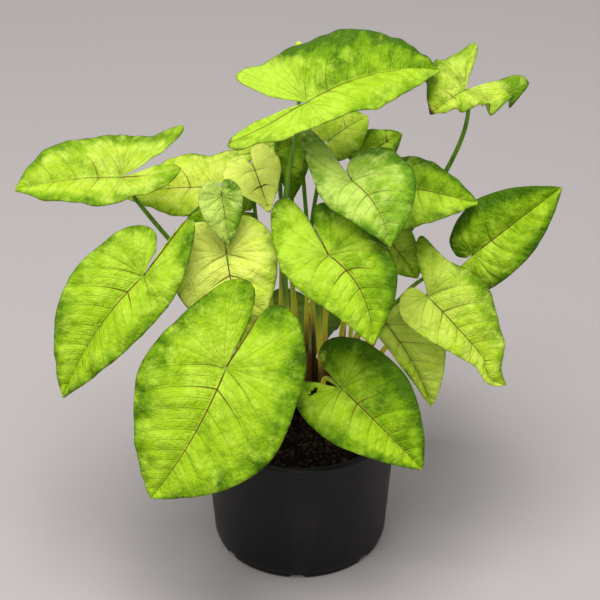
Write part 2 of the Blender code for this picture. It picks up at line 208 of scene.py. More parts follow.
def setRoom(setup):
    # a plain floor, an even white sky, and two area lights that face the plant
    half = setup["floorSize"] / 2
    corners = [(-half, -half, 0), (half, -half, 0), (half, half, 0), (-half, half, 0)]
    mesh = bpy.data.meshes.new("floor")
    mesh.from_pydata(corners, [], [(0, 1, 2, 3)])
    floor = addObject("floor", mesh)
    material, tree = newMaterial("floor")
    output(tree, surface(tree, setup["floorColour"], 0.8))
    mesh.materials.append(material)
    world = bpy.data.worlds.new("sky")
    world.use_nodes = True
    sky = world.node_tree.nodes["Background"].inputs
    sky["Color"].default_value = (1, 1, 1, 1)
    sky["Strength"].default_value = setup["sky"]
    bpy.context.scene.world = world
    for name in ("key", "fill"):
        light = addObject(name, bpy.data.lights.new(name, "AREA"))
        light.data.size = setup[name + "Size"]
        light.data.energy = setup[name + "Power"]
        light.location = setup[name + "From"]
        x, y, z = (a - b for a, b in zip(setup[name + "From"], setup["aim"]))
        light.rotation_euler = (math.atan2(math.hypot(x, y), z), 0, math.atan2(x, -y))
    bpy.context.scene.view_settings.view_transform = "Standard"


setCamera(cameraSetup)
setRoom(roomSetup)
print("camera, floor and lights are set")


# Pot

potShape = {"height": 90, "baseRadius": 54, "rimRadius": 60, "lipRadius": 62.5, "lipDepth": 4.5, "wall": 1.6,
            "floorThickness": 2.5, "floorCurve": 3, "footStep": 1.0, "footHeight": 4, "sides": 240,
            "notches": 7, "notchWidth": 8, "notchHeight": 3.2, "notchFrom": 50.5, "notchTurn": -92.5,
            "notchRows": 16, "colour": (0.0045, 0.0043, 0.0045, 1), "dustColour": (0.07, 0.065, 0.06, 1),
            "dust": 0.5, "film": 0.06, "shine": 0.20}


def potProfile(shape):
    # radius and height from the middle of the underside, out, up the wall, round the lip, down the inside
    rim, wall, top = shape["rimRadius"], shape["wall"], shape["height"]
    base, depth, bottom = shape["baseRadius"], shape["lipDepth"], shape["floorThickness"]
    inner = base - wall
    under = np.vstack([np.linspace((4, 0), (shape["notchFrom"] - 0.1, 0), 8), [(shape["notchFrom"], 0)]])
    foot = [(base - 2.4, 0), (base - 1.2, 0.1), (base - 0.5, 0.7), (base, 2.2), (base, shape["footHeight"])]
    wallFoot = (base + shape["footStep"], shape["footHeight"] + 1.2)
    wallOut = np.linspace(wallFoot, (rim + 0.5, top - depth - 0.4), 30)
    turn = np.linspace(-0.5 * np.pi, np.pi, 22)
    centre = rim - wall / 2
    reach = np.where(turn < np.pi / 2, shape["lipRadius"] - centre, wall / 2)
    lip = np.stack([centre + reach * np.cos(turn), top - depth / 2 + depth / 2 * np.sin(turn)], axis=1)
    lip = lip[(lip[:, 0] > rim + 0.4) | (turn > np.pi / 4)]
    inside = np.linspace((rim - wall, top - depth), (inner, bottom + shape["floorCurve"]), 20)
    turn = np.linspace(0, np.pi / 2, 6)[1:]
    corner = np.stack([inner - shape["floorCurve"] * (1 - np.cos(turn)),
                       bottom + shape["floorCurve"] * (1 - np.sin(turn))], axis=1)
    within = np.linspace((inner - shape["floorCurve"] - 3, bottom), (4, bottom), 8)
    return np.vstack([under, foot, wallOut, lip, inside, corner, within])


def ringFaces(rows, sides):
    # the quads of a tube of rings, with a fan at each end to the two poles that follow the rings' points
    count = rows * sides
    ring = np.arange(sides)
    after = (ring + 1) % sides
    last = count - sides
    return [gridQuads(rows, sides, around=True),
            np.stack([np.full(sides, count), after, ring], axis=1),
            np.stack([last + ring, last + after, np.full(sides, count + 1)], axis=1)]


def turnedPiece(name, profile, sides, material, change):
    # the profile's radius and height carried round the upright axis, with a pole at each end; change then
    # alters the rings of points
    turn = np.linspace(0, 2 * np.pi, sides, endpoint=False)
    radius, height = profile[:, :1], np.repeat(profile[:, 1:], sides, axis=1)
    x, y, height = change(radius * np.cos(turn), radius * np.sin(turn), height, turn[None, :])
    points = np.stack([x, y, height], axis=-1).reshape(-1, 3)
    poles = np.array([[0, 0, profile[0, 1]], [0, 0, height[-1].mean()]])
    return newPiece(name, np.vstack([points, poles]), ringFaces(len(profile), sides), [material])


def notchedFoot(x, y, height, turn):
    # near each notch the foot's lower edge is raised to the notch's height
    shape = potShape
    pitch = 2 * np.pi / shape["notches"]
    off = (turn - math.radians(shape["notchTurn"]) + pitch / 2) % pitch - pitch / 2
    radius = np.hypot(x, y)
    inside = np.abs(off) * shape["baseRadius"] < shape["notchWidth"] / 2
    outer = np.arange(len(radius))[:, None] < shape["notchRows"]  # underside, foot and start of the wall
    low = outer & (radius >= shape["notchFrom"]) & (height < shape["notchHeight"])
    return x, y, np.where(inside & low, shape["notchHeight"], height)


def potMaterial(shape):
    # near-black satin plastic, with a thin film of dust, specks and fine upright scuffs
    material, tree = newMaterial("blackPlastic")
    where = objectPlace(tree)
    cloud = noise(tree, where, 30, 5, 0.6)
    fine = noise(tree, where, 900, 3, 0.6)
    runs = noise(tree, where, 60, 3, 0.6, (1, 1, 0.12))
    specks = addNode(tree, "ShaderNodeTexVoronoi", {"Vector": where, "Scale": 260}, feature="F1")
    dots = step(tree, specks.outputs["Distance"], 0.10, 0.05)
    some = step(tree, noise(tree, where, 120, 2), 0.60, 0.66)
    film = step(tree, times(tree, cloud, runs), 0.22, 0.42, 0.0, shape["film"])
    amount = calc(tree, "MAXIMUM", times(tree, dots, some, shape["dust"]), film)
    colour = mixColour(tree, amount, shape["colour"], shape["dustColour"])
    rough = step(tree, cloud, 0.3, 0.7, 0.36, 0.48)
    height = weighted(tree, (fine, 1.0), (runs, 0.6))
    output(tree, surface(tree, colour, rough, bump(tree, height, 0.12, 0.0004), shape["shine"]))
    return material


pot = turnedPiece("blackPot", potProfile(potShape), potShape["sides"], potMaterial(potShape), notchedFoot)
place(pot, "pot")
print("pot is made")


# Soil and its bits of bark

soilShape = {"top": 78, "radius": 57.6, "lowRadius": 49, "low": 3, "knee": (52, 8), "lump": 1.9,
             "lumpRun": (4, 26), "rings": 60, "sides": 180, "bits": 1500, "bitSize": (0.45, 2.1),
             "bitWide": (0.35, 0.8), "bitFlat": (0.3, 0.75), "bitSpread": 56, "bitJitter": 0.11, "bitTip": 0.5,
             "seed": 7, "shine": 0.08, "barkShine": 0.25, "dark": (0.0032, 0.0018, 0.0012, 1),
             "brown": (0.022, 0.011, 0.0055, 1), "bark": (0.085, 0.036, 0.015, 1)}


def soilHeight(x, y):
    # the soil's level plus lumps that fade out at the pot's wall
    share = np.minimum(np.hypot(x, y) / soilShape["radius"], 1)
    rough = lumps(x, y, soilShape["seed"], *soilShape["lumpRun"])
    return soilShape["top"] + soilShape["lump"] * rough * (1 - share**8)


def soilProfile(shape):
    # from the middle of the bottom, out, up the side, and in over the top
    side = [(4, shape["low"]), (shape["lowRadius"], shape["low"]), shape["knee"]]
    over = np.linspace(shape["radius"], 0.8, shape["rings"])
    return np.vstack([side, np.stack([over, np.full(len(over), shape["top"])], axis=1)])


def lumpySoil(x, y, height, turn):
    # the rings that lie at the soil's level take its lumps
    return x, y, np.where(height >= soilShape["top"] - 0.01, soilHeight(x, y), height)


def soilMaterial(shape):
    # dark crumbs with browner patches and a few bark-coloured grains
    material, tree = newMaterial("soilCrumbs")
    where = objectPlace(tree)
    coarse = noise(tree, where, 260, 5, 0.7)
    fine = noise(tree, where, 1400, 3, 0.7)
    colour = mixColour(tree, step(tree, coarse, 0.42, 0.75), shape["dark"], shape["brown"])
    colour = mixColour(tree, step(tree, fine, 0.62, 0.74, 0.0, 0.5), colour, shape["bark"])
    height = weighted(tree, (coarse, 1.0), (fine, 0.35))
    output(tree, surface(tree, colour, 0.9, bump(tree, height, 0.9, 0.0016), shape["shine"]))
    return material


def barkMaterial(shape):
    # each bit keeps its own shade, with grain along it
    material, tree = newMaterial("barkBits")
    _, shade, tint, _ = readAttribute(tree, "bitTone")
    where = objectPlace(tree)
    grain = noise(tree, where, 700, 4, 0.65, (1, 1, 3))
    colour = mixColour(tree, shade, shape["dark"], shape["brown"])
    colour = mixColour(tree, times(tree, tint, grain), colour, shape["bark"])
    rough = step(tree, grain, 0.3, 0.7, 0.7, 0.95)
    output(tree, surface(tree, colour, rough, bump(tree, grain, 0.6, 0.0006), shape["barkShine"]))
    return material


def cubeSkin():
    # the 26 outer points of a cube of 3 by 3 by 3 points, with the quads of its six sides facing out
    steps = np.array([-1, 0, 1])
    block = np.stack(np.meshgrid(steps, steps, steps, indexing="ij"), axis=-1).reshape(-1, 3)
    block = block[np.abs(block).max(1) > 0]
    index = {tuple(p): k for k, p in enumerate(block.tolist())}
    quads = []
    for axis in range(3):
        for side in (-1, 1):
            for a, b in ((-1, -1), (-1, 0), (0, -1), (0, 0)):
                corners = [(a, b), (a + 1, b), (a + 1, b + 1), (a, b + 1)]
                face = [index[tuple(np.insert(corner, axis, side).tolist())] for corner in corners]
                quads.append(face if (side > 0) != (axis == 1) else face[::-1])
    return block.astype(float), np.array(quads)


def turned(points, angle, first, second):
    # turns each bit's points in the plane of two axes
    a, b = points[..., first].copy(), points[..., second].copy()
    cos, sin = np.cos(angle)[:, None], np.sin(angle)[:, None]
    points[..., first] = a * cos - b * sin
    points[..., second] = a * sin + b * cos


def barkBits(name, shape, material):
    # each bit is a cube pushed towards a ball, flattened, jittered, tipped, turned and strewn on the soil
    dice = np.random.default_rng(shape["seed"])
    block, quads = cubeSkin()
    ball = block / np.linalg.norm(block, axis=1, keepdims=True) * 1.15
    block = 0.45 * block + 0.55 * ball
    count = shape["bits"]
    size = dice.uniform(*shape["bitSize"], count) * dice.uniform(0.45, 1, count)
    stretch = np.stack([np.ones(count), dice.uniform(*shape["bitWide"], count),
                        dice.uniform(*shape["bitFlat"], count)], axis=1)
    points = block[None] * stretch[:, None] * size[:, None, None]
    points = points + dice.normal(0, shape["bitJitter"], points.shape) * size[:, None, None]
    turned(points, dice.normal(0, shape["bitTip"], count), 0, 2)
    turned(points, dice.uniform(0, 2 * np.pi, count), 0, 1)
    radius = shape["bitSpread"] * np.sqrt(dice.uniform(0, 1, count))
    turn = dice.uniform(0, 2 * np.pi, count)
    home = np.stack([radius * np.cos(turn), radius * np.sin(turn)], axis=1)
    height = soilHeight(home[:, 0], home[:, 1]) + size * stretch[:, 2] * 0.3
    points += np.concatenate([home, height[:, None]], axis=1)[:, None]
    faces = (quads[None] + len(block) * np.arange(count)[:, None, None]).reshape(-1, 4)
    shade, tint = dice.uniform(0, 1, count) ** 1.5, dice.uniform(-0.6, 1.1, count).clip(0)
    tone = np.stack([shade, tint, np.zeros(count)], axis=1)
    tones = {"bitTone": np.repeat(tone, len(block), axis=0)}
    return newPiece(name, points.reshape(-1, 3), [faces], [material], tones)


soil = turnedPiece("soilBody", soilProfile(soilShape), soilShape["sides"], soilMaterial(soilShape), lumpySoil)
bits = barkBits("soilBits", soilShape, barkMaterial(soilShape))
place(soil, "soil")
place(bits, "soil")
print("soil is made")


# Leaves: sizes in mm and degrees; pairs are for the left and right halves, seen from above
# place: joint of stalk and blade, foot of the stalk in the soil, heading, dip and roll of the midrib
# outline: length ahead of the joint, width of each half, lobe behind the joint, then shares of these: belly
#   (below 1 fuller at the tip), hip (width at the joint), gap and splay of the lobes, point (narrower tip)
# form: fold of each half, bend of the midrib, lift of the lobes, arch, wave, ruffle and crinkle of the skin,
#   sway and tail of the midrib sideways, holes as (across, along, half width, half length)
# stalk: its radius, and how much it comes in along the midrib (over) rather than upright
# looks: tone, then more dark, pale or lobePale skin, which is partly the leaf's own mottling and partly
#   painted shade and painted light on halves that lie in or out of shade; red side veins and dry brown edges

leafDefaults = {"fold": (14, 14), "bend": 26, "lift": (0, 0), "belly": (1, 1), "hip": (1, 1), "gap": (0, 0),
                "splay": (0, 0), "point": (0.1, 0.1), "arch": (1.6, 1.6), "sway": 0, "tail": 0,
                "wave": 1.5, "ruffle": 0.5, "crinkle": 0.7, "holes": (), "stalk": 1.8, "over": 0.35,
                "tone": "green", "dark": (0, 0), "pale": (0, 0), "lobePale": (0, 0), "red": 0.5, "brown": 0}

leaves = {
    "leaf_top": dict(joint=(4, -5, 303), heading=21, dip=-3, roll=16, length=84, width=(38, 31),
                     lobe=(26, 50), foot=(-7, 12), fold=(22, 18), bend=56, lift=(20, 6), belly=(0.9, 0.72),
                     hip=(0.95, 0.72), gap=(0.3, -0.4), point=(0.05, 0), stalk=2.1, dark=(0.8, -0.8),
                     pale=(0.2, 0.9), lobePale=(2.6, 0.4)),
    "leaf_top_right": dict(joint=(96, 30, 295), heading=-138, dip=12, roll=-30, length=31, width=(13, 23),
                           lobe=(38, 16), foot=(31, 30), fold=(10, 16), bend=40, lift=(5, 12), hip=(1.6, 1),
                           splay=(0.22, 0), belly=(1, 0.8), gap=(-0.2, 0.5), point=(0.1, 0), wave=2.5,
                           ruffle=2.2, crinkle=1.2, tone="lime", pale=(0.6, 0.6), brown=1),
    "leaf_top_left": dict(joint=(-102, -5, 256), heading=-171, dip=3, roll=-20, length=61, width=(26, 28),
                          lobe=(32, 34), foot=(-30, 14), fold=(14, 22), lift=(11, 20), hip=(0.72, 1),
                          belly=(0.55, 0.8), gap=(-0.45, 0.4), point=(0.2, 0), tone="lime", dark=(-0.2, 0.2),
                          pale=(0.4, 0.6)),
    "leaf_back_left": dict(joint=(-53, 40, 226), heading=-175, dip=4, roll=-20, length=55, width=(28, 25),
                           lobe=(24, 24), foot=(-17, 33), fold=(14, 16), lift=(0, 18), belly=(0.75, 1),
                           gap=(0, 0.2), stalk=1.5, tone="yellow", dark=(0.1, 0.1), pale=(0.5, 0.5), red=0.7),
    # leaf_young lies in the top leaf's shade; its negative dark and large pale paint light on it
    "leaf_young": dict(joint=(-26, 10, 253), heading=-71, dip=27, roll=14, length=30, width=(16, 20),
                       lobe=(18, 9), foot=(-12, 22), fold=(30, 24), bend=20, wave=1.2, ruffle=1.5,
                       crinkle=1.3, stalk=1.4, tone="yellow", red=1.6, dark=(-1.2, -1.2), pale=(1.6, 1.6)),
    # leaf_behind_stalk's dark paints shade on it
    "leaf_behind_stalk": dict(joint=(-5, 25, 262), heading=-90, dip=60, roll=0, length=33, width=(12, 10),
                              lobe=(12, 14), foot=(-4, 34), bend=20, wave=1, stalk=1.4, over=0.1,
                              dark=(0.9, 0.9)),
    "leaf_pale": dict(joint=(29, -22, 263), heading=-54, dip=37, roll=23, length=45, width=(30, 24),
                      lobe=(12, 44), foot=(15, 22), fold=(12, 16), bend=34, belly=(0.8, 1), hip=(1, 0.8),
                      gap=(-0.05, -0.05), sway=-4, tone="pale", dark=(0.1, -0.4), pale=(0.3, 1.0)),
    "leaf_right_back": dict(joint=(56, 8, 244), heading=-17, dip=5, roll=31, length=49, width=(20, 32),
                            lobe=(20, 20), foot=(24, 28), fold=(12, 10), bend=20, dark=(0.3, -0.5),
                            pale=(0.2, 1.2)),
    "leaf_right": dict(joint=(102, -8, 208), heading=6, dip=-40, roll=57, length=64, width=(25, 23),
                       lobe=(9, 21), foot=(38, 14), fold=(10, 12), belly=(0.9, 0.85), hip=(0.75, 1),
                       point=(0, 0.05), dark=(0.7, 0.2), pale=(-0.3, 0.3), red=0.8),
    "leaf_lower_right": dict(joint=(74, -25, 189), heading=-23, dip=44, roll=40, length=71, width=(32, 22),
                             lobe=(28, 11), foot=(34, 4), fold=(16, 20), belly=(0.85, 1.2), gap=(0.35, 0),
                             hip=(0.72, 1), splay=(0.25, 0), point=(0.28, 0.25), over=0.6, tail=5,
                             tone="lime", dark=(-0.2, -1.2), pale=(0.8, 1.4), red=0.8),
    # leaf_under_right faces away from the light under other leaves; its negative dark and large pale paint
    # light on it
    "leaf_under_right": dict(joint=(51, -24, 169), heading=-28, dip=58, roll=59, length=58, width=(28, 9),
                             lobe=(7, 14), foot=(25, -3), fold=(14, 40), sway=-3, over=0.6, tone="lime",
                             dark=(-1.2, -0.8), pale=(2.0, 1.0)),
    "leaf_front_right": dict(joint=(24, -60, 148), heading=-33, dip=33, roll=37, length=66, width=(33, 29),
                             lobe=(26, 20), foot=(16, -8), fold=(12, 14), belly=(0.85, 1), hip=(0.92, 1),
                             gap=(0, 0.38), over=1.0, holes=((14, -9, 3.6, 1.3),), dark=(0.5, -0.3),
                             pale=(-0.2, 0.2), red=0.8),
    "leaf_front_left": dict(joint=(-41, -85, 179), heading=-141, dip=50, roll=-34, length=85, width=(47, 46),
                            lobe=(46, 48), foot=(-22, -18), fold=(10, 12), bend=28, belly=(0.85, 0.9),
                            hip=(0.95, 0.80), gap=(-0.04, 0.04), splay=(-0.12, 0), sway=-4, point=(0, 0.05),
                            wave=2, stalk=2.2, over=0.7, dark=(-0.4, -0.6), pale=(0.4, 0.7), red=1),
    # leaf_middle_left lies in the shade of leaves above; its negative dark and large pale, most on the right
    # half, paint light
    "leaf_middle_left": dict(joint=(-42, -26, 218), heading=-70, dip=62, roll=19, length=58, width=(29, 34),
                             lobe=(20, 20), foot=(-15, -7), fold=(12, 12), over=0.5, tone="yellow",
                             dark=(-0.3, -1.2), pale=(1.2, 2.0), red=1),
    "leaf_left": dict(joint=(-88, -44, 214), heading=-152, dip=51, roll=-40, length=86, width=(30, 33),
                      lobe=(42, 24), foot=(-36, 0), fold=(40, 16), bend=28, belly=(0.78, 1), hip=(0.85, 0.88),
                      gap=(0, 0.08), splay=(-0.15, 0), sway=4, wave=2, over=0.5, dark=(-0.5, -0.6),
                      pale=(0.6, 0.8), red=1),
    "leaf_middle": dict(joint=(16, -45, 228), heading=-55, dip=42, roll=23, length=57, width=(27, 31),
                        lobe=(30, 43), foot=(14, 7), fold=(12, 14), bend=30, belly=(0.85, 1), hip=(1, 0.9),
                        gap=(-0.07, -0.07), sway=-7, stalk=2, dark=(0.1, -0.8), pale=(0.1, 1.0), red=1),
    # leaf_shaded's dark paints shade on it
    "leaf_shaded": dict(joint=(-34, 9, 226), heading=-175, dip=8, roll=-30, length=34, width=(10, 15),
                        lobe=(7, 8), foot=(-27, 23), fold=(10, 20), stalk=1.4, over=0.1, dark=(0.9, 0.9)),
    "leaf_folded": dict(joint=(-44, -21, 253), heading=-65, dip=72, roll=20, length=29, width=(13, 15),
                        lobe=(9, 9), foot=(-23, 9), fold=(44, 40), bend=16, arch=(0.4, 0.4), wave=0.8,
                        stalk=1.3, over=0.42, tone="pale", dark=(0.4, -0.8), pale=(0.4, 1.5)),
    "leaf_back_top": dict(joint=(18, 50, 253), heading=40, dip=-12, roll=20, length=31, width=(18, 19),
                          lobe=(9, 11), foot=(4, 38), stalk=1.5, tone="lime", dark=(-0.3, -0.3)),
    "leaf_back_right": dict(joint=(42, 56, 241), heading=25, dip=-22, roll=30, length=24, width=(13, 15),
                            lobe=(12, 12), foot=(13, 34), stalk=1.5, dark=(0.2, 0.5), red=1.2),
    "leaf_right_tip": dict(joint=(50, 2, 214), heading=-26, dip=47, roll=37, length=32, width=(14, 18),
                           lobe=(8, 14), foot=(30, 21), stalk=1.5, tone="lime", pale=(0.2, 0.2)),
    "leaf_small_pale": dict(joint=(-14, 36, 256), heading=-178, dip=12, roll=-22, length=24, width=(9, 10),
                            lobe=(10, 10), foot=(-13, 42), stalk=1.3, over=0.1, tone="lime", pale=(0.8, 0.8)),
    "leaf_behind_top": dict(joint=(-1, 50, 295), heading=90, dip=-34, roll=0, length=24, width=(7, 8),
                            lobe=(8, 8), foot=(9, 46), stalk=1.4, over=0.1, tone="yellow"),
    "leaf_back_low": dict(joint=(6, 86, 114), heading=90, dip=64, roll=0, length=78, width=(28, 28),
                          lobe=(20, 20), foot=(17, 43), over=0.9, dark=(0.4, 0.4)),
    "leaf_back_low_left": dict(joint=(-48, 66, 166), heading=130, dip=40, roll=-10, length=60, width=(27, 27),
                               lobe=(20, 22), foot=(-26, 35), over=0.6, dark=(0.2, 0.2)),
    "leaf_back_low_right": dict(joint=(82, 52, 158), heading=30, dip=44, roll=12, length=58, width=(26, 27),
                                lobe=(20, 20), foot=(37, 22), over=0.6, tone="lime"),
    "leaf_back_high": dict(joint=(-14, 82, 214), heading=98, dip=30, roll=0, length=60, width=(28, 28),
                           lobe=(24, 22), foot=(-1, 45), over=0.5),
    "leaf_back_mid": dict(joint=(44, 90, 188), heading=66, dip=28, roll=8, length=54, width=(25, 24),
                          lobe=(18, 20), foot=(26, 37), over=0.5),
}

# half an outline: share of the half's width, then share of the lobe (negative) or of the blade
halfOutline = ((0.05, -0.62), (0.20, -0.93), (0.42, -1.00), (0.66, -0.88), (0.87, -0.55), (0.97, -0.20),
               (1.00, 0.08), (0.97, 0.26), (0.88, 0.42), (0.70, 0.60), (0.46, 0.76), (0.22, 0.89),
               (0.07, 0.965), (0.0, 1.0))

bladeShape = {"thickness": 0.5, "lobeRows": 30, "rows": 60, "columns": 18, "crowd": 0.9, "veinSlope": 0.62,
              "veinCurve": 0.45, "veinGap": 6.4, "veinFan": 12, "quilt": 0.48, "pillow": 1.0, "groove": 0.5,
              "grooveHalf": 1.8, "foldEase": 0.35, "riseEase": 0.45, "waveRun": 0.62, "hipStart": 0.25,
              "hipBack": 0.3, "crinkleRun": (7, 26), "fullSize": 60, "tailStart": 0.7, "ribHalf": 0.5,
              "firstSeed": 1.0, "seedStep": 1.37}


def halfEdge(leaf, half):
    # the edge from the mouth of the notch round the lobe to the tip, as across and along
    width, lobe = leaf["width"][half], leaf["lobe"][half]
    across, share = np.array(halfOutline).T
    behind = np.maximum(-share, 0)
    across = across + leaf["gap"][half] * behind * (1 - across)
    ahead = np.maximum(share, 0) ** leaf["belly"][half]
    across = across * (1 - leaf["point"][half] * np.sin(np.pi * ahead**2))
    along = np.where(share < 0, share * lobe, ahead * leaf["length"])
    start = bladeShape["hipStart"] * leaf["length"]
    hip = np.clip((start - along) / (start + bladeShape["hipBack"] * lobe), 0, 1)
    across = across * width * (1 - (1 - leaf["hip"][half]) * hip) + leaf["splay"][half] * lobe * behind**2
    return smoothCurve(np.stack([across, along], axis=1), 400)


def rayStarts(leaf):
    # how far along the midrib each row of rays ahead of the joint starts
    return leaf["length"] * np.linspace(0, 1, bladeShape["rows"], endpoint=False) ** bladeShape["crowd"]


def halfRays(leaf, half):
    # rays that follow the side veins: each starts on the midrib, or at the joint for the lobe, and ends on
    # the edge; gives across, along, vein number and share of the way to the edge, as rows of rays by columns
    shape = bladeShape
    edge = halfEdge(leaf, half)
    starts = edge[:, 1] - shape["veinSlope"] * edge[:, 0]
    turning = np.argmax(starts > 0)
    length = np.concatenate([[0], np.cumsum(np.hypot(*np.diff(edge[:turning], axis=0).T))])
    even = np.linspace(0, length[-1], shape["lobeRows"], endpoint=False)
    lobeEdge = np.stack([np.interp(even, length, edge[:turning, k]) for k in (0, 1)], axis=1)
    begin = rayStarts(leaf)
    ahead = np.maximum.accumulate(starts[turning - 1:])
    bladeEdge = np.stack([np.interp(begin, ahead, edge[turning - 1:, k]) for k in (0, 1)], axis=1)
    ends = np.vstack([lobeEdge, bladeEdge])
    first = np.concatenate([np.zeros(len(even)), begin])[:, None]
    reach = np.linspace(0, 1, shape["columns"] + 1)[1:]
    across = ends[:, :1] * reach
    along = first + (ends[:, 1:] - first) * ((1 - shape["veinCurve"]) * reach + shape["veinCurve"] * reach**2)
    corner = math.degrees(math.atan2(1, shape["veinSlope"]))
    fan = np.degrees(np.arctan2(ends[:, 0], ends[:, 1])) % 360 - corner
    number = np.where(first[:, 0] > 0, first[:, 0] / shape["veinGap"], -np.maximum(fan, 0) / shape["veinFan"])
    return across, along, np.repeat(number[:, None], len(reach), axis=1), np.tile(reach, (len(ends), 1))


def leafAxes(leaf):
    # unit vectors along the midrib's chord, to its right, and out of the upper face
    h, d, r = (math.radians(leaf[key]) for key in ("heading", "dip", "roll"))
    chord = np.array([math.cos(d) * math.cos(h), math.cos(d) * math.sin(h), -math.sin(d)])
    side = np.cross(chord, [0.0, 0.0, 1.0])
    side /= np.linalg.norm(side)
    normal = np.cross(side, chord)
    return chord, side * math.cos(r) - normal * math.sin(r), normal * math.cos(r) + side * math.sin(r)


def bladeLift(leaf, right, across, along, number, reach, seed):
    # height over the flat blade: each half rises from the midrib as its fold says and flattens towards the
    # edge, it arches between midrib and edge, the edge waves and ruffles, the skin puffs up between the side
    # veins and crinkles, the midrib lies in a groove, and the lobes lift
    shape = bladeShape
    width, lobe, rise, arch = (np.array(leaf[key], float)[right] for key in ("width", "lobe", "lift", "arch"))
    fold = np.radians(np.array(leaf["fold"])[right])
    size = min(leaf["length"] / shape["fullSize"], 1)  # small leaves have shallower relief
    share = np.abs(across) / width
    lift = np.abs(across) * np.sin(fold) * (1 - shape["riseEase"] * share)
    lift += arch * size * np.sin(np.pi * np.minimum(share, 1) ** 0.8)
    phase = np.array((2.1, 0.4))[right] + leaf["joint"][0] * 0.05
    lift += leaf["wave"] * share**2 * np.sin(2 * np.pi * along / (shape["waveRun"] * leaf["length"]) + phase)
    ruffle = 0.6 * np.sin(2.3 * number + seed) + 0.4 * np.sin(3.9 * number + 2.1 * seed)
    lift += leaf["ruffle"] * ruffle * reach**3
    between = np.sin(np.pi * np.clip(reach, 0, 1)) ** 0.6
    lift += shape["quilt"] * size * np.abs(np.sin(np.pi * number)) ** 0.7 * between
    lift += shape["pillow"] * size * np.abs(np.sin(np.pi * number / 2)) ** 0.8 * between
    crinkles = lumps(across, along, int(seed * 100), *shape["crinkleRun"])
    lift += leaf["crinkle"] * size * crinkles * np.minimum(share * 4, 1)
    lift -= shape["groove"] * np.exp(-(across / shape["grooveHalf"]) ** 2)
    return lift + rise * (np.minimum(along, 0) / lobe) ** 2


def bladePlace(leaf, right, across, along, number, reach, seed):
    # the blade in space: its midrib runs along an arc in the plane of chord and normal, and may sway sideways
    shape = bladeShape
    lift = bladeLift(leaf, right, across, along, number, reach, seed)
    fold = np.radians(np.array(leaf["fold"])[right])
    share = np.abs(across) / np.array(leaf["width"], float)[right]
    ahead = np.clip(along / leaf["length"], 0, 1)
    behind = np.minimum(along, 0)
    out = across * np.cos(fold * (1 - shape["foldEase"] * share)) + leaf["sway"] * 4 * ahead * (1 - ahead)
    late = np.clip((ahead - shape["tailStart"]) / (1 - shape["tailStart"]), 0, 1)
    out = out + leaf["tail"] * np.sin(np.pi * late)
    half = math.radians(leaf["bend"]) / 2
    radius = leaf["length"] / (2 * math.sin(half))
    turn = half - np.maximum(along, 0) / radius
    run = radius * (math.sin(half) - np.sin(turn)) + behind * math.cos(half) - lift * np.sin(turn)
    height = radius * (np.cos(turn) - math.cos(half)) + behind * math.sin(half) + lift * np.cos(turn)
    chord, side, normal = leafAxes(leaf)
    spot = np.array(leaf["joint"], float) + out[..., None] * side
    return spot + run[..., None] * chord + height[..., None] * normal


def bladeFaces(half):
    # the faces of one half: the grid of rays, a fan round the joint, a strip along the midrib, and the tip
    rows, lobeRows, columns = (bladeShape[key] for key in ("rows", "lobeRows", "columns"))
    allRows = rows + lobeRows
    start = rows + 1 + half * allRows * columns
    ring = start + np.arange(allRows) * columns
    middle = np.concatenate([np.zeros(lobeRows, int), np.arange(rows)])
    inner = np.stack([middle[:-1], ring[:-1], ring[1:], middle[1:]], axis=1)
    lastRow = np.append(rows - 1, ring[-1] + np.arange(columns))
    tip = np.stack([lastRow[:-1], lastRow[1:], np.full(columns, rows)], axis=1)
    groups = [gridQuads(allRows, columns, start), inner[:lobeRows, :3], inner[lobeRows:], tip]
    return groups if half else [group[:, ::-1] for group in groups]


def pierced(faces, across, along, holes):
    # drops the faces whose middle lies in a hole, an ellipse given by its middle and half sizes
    for x, y, halfX, halfY in holes:
        inside = [((across[f].mean(1) - x) / halfX) ** 2 + ((along[f].mean(1) - y) / halfY) ** 2 < 1
                  for f in faces]
        faces = [f[~gone] for f, gone in zip(faces, inside)]
    return faces


def blade(name, leaf, materials, seed):
    # both halves' rays on one midrib; the attributes carry what the colours need to know, with places in cm
    shape = bladeShape
    spine = np.append(rayStarts(leaf), leaf["length"])
    nought = np.zeros(len(spine))
    parts = [(nought, spine, spine / shape["veinGap"], nought, nought.astype(int))]
    for half in (0, 1):
        across, along, number, reach = (grid.ravel() for grid in halfRays(leaf, half))
        parts.append((across if half else -across, along, number, reach, np.full(len(across), half)))
    across, along, number, reach, right = (np.concatenate(values) for values in zip(*parts))
    points = bladePlace(leaf, right, across, along, number, reach, seed)
    faces = pierced(bladeFaces(0) + bladeFaces(1), across, along, leaf["holes"])
    ahead = along / leaf["length"]
    rib = np.abs(across) / (shape["ribHalf"] * (1.2 - 0.8 * np.clip(ahead, 0, 1)))
    same = np.ones(len(across))
    # dark, pale and lobePale per half: partly the leaf's own mottling, partly painted shade and painted light
    lobePale = np.array(leaf["lobePale"], float)[right] * np.clip(0.5 - along / 20, 0, 1)
    dark = np.array(leaf["dark"], float)[right] - 0.6 * lobePale
    pale = np.array(leaf["pale"], float)[right] + lobePale
    looks = {"leafPlace": (across / 10, along / 10, same * seed * 7.3), "leafVein": (number, reach, rib),
             "leafLooks": (dark, pale, same * leaf["red"]),
             "leafEnds": (ahead, same * leaf["brown"], 0 * same)}
    looks = {key: np.stack(values, axis=1) for key, values in looks.items()}
    piece = newPiece(name, points, faces, materials, looks)
    shell = piece.modifiers.new("thickness", "SOLIDIFY")
    shell.thickness = shape["thickness"] * mm
    shell.offset = 0
    shell.material_offset = 1
    return piece


# Leaf colours

